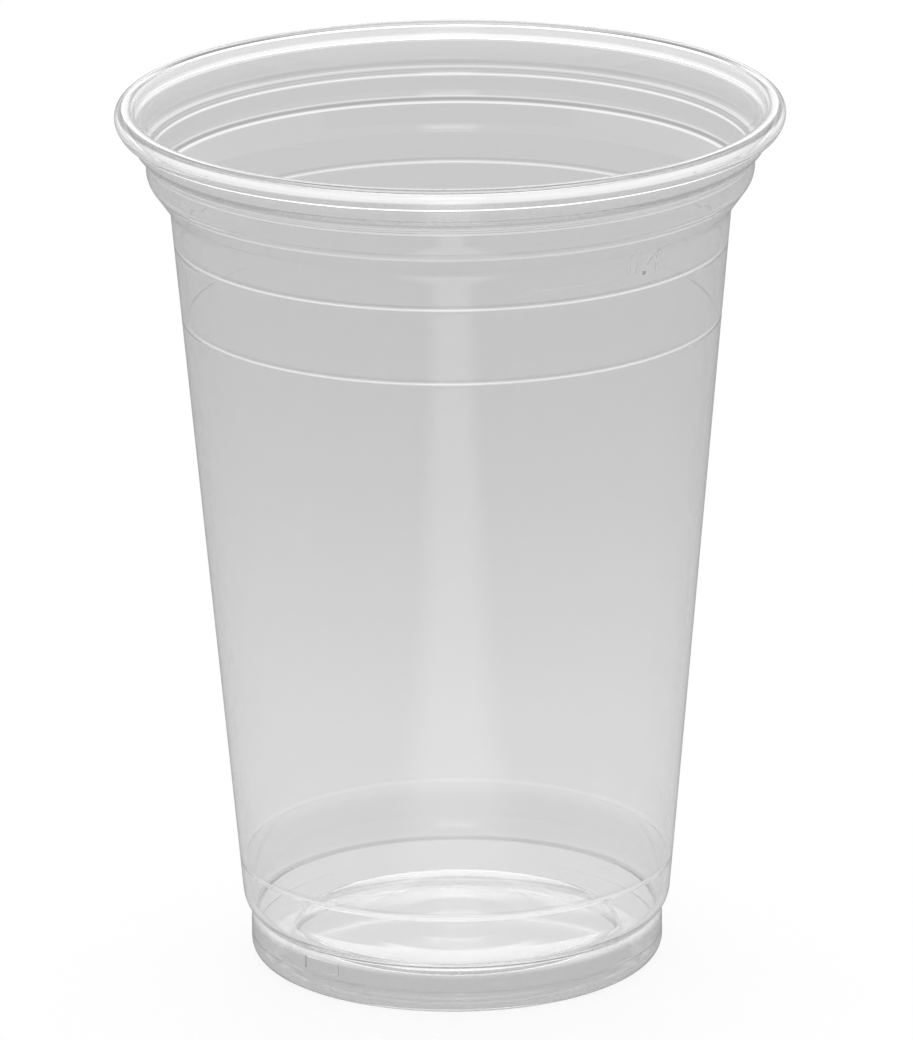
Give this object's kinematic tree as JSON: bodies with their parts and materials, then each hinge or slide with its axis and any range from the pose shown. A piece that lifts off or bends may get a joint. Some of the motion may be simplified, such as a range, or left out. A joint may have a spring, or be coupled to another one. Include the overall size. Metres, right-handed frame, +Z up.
{
  "type": "reusable plastic cup",
  "caption": "Clear tapered drinking cup moulded as one thin shell, with a turned-down rim, a ledge and collar below it, fine ring lines, a foot ring and a raised base.",
  "frame": {"origin": "centre of the ring that the cup stands on, on the resting surface", "axes": "+Z up along the cup's axis, -Y towards the side that faces the viewer, +X to the viewer's right"},
  "size_m": [0.0954, 0.0954, 0.127],
  "materials": {
    "clear_plastic": "clear, very slightly grey polypropylene with a smooth moulded gloss"
  },
  "bodies": {
    "root": {"cup": "clear_plastic"}
  },
  "joints": []
}
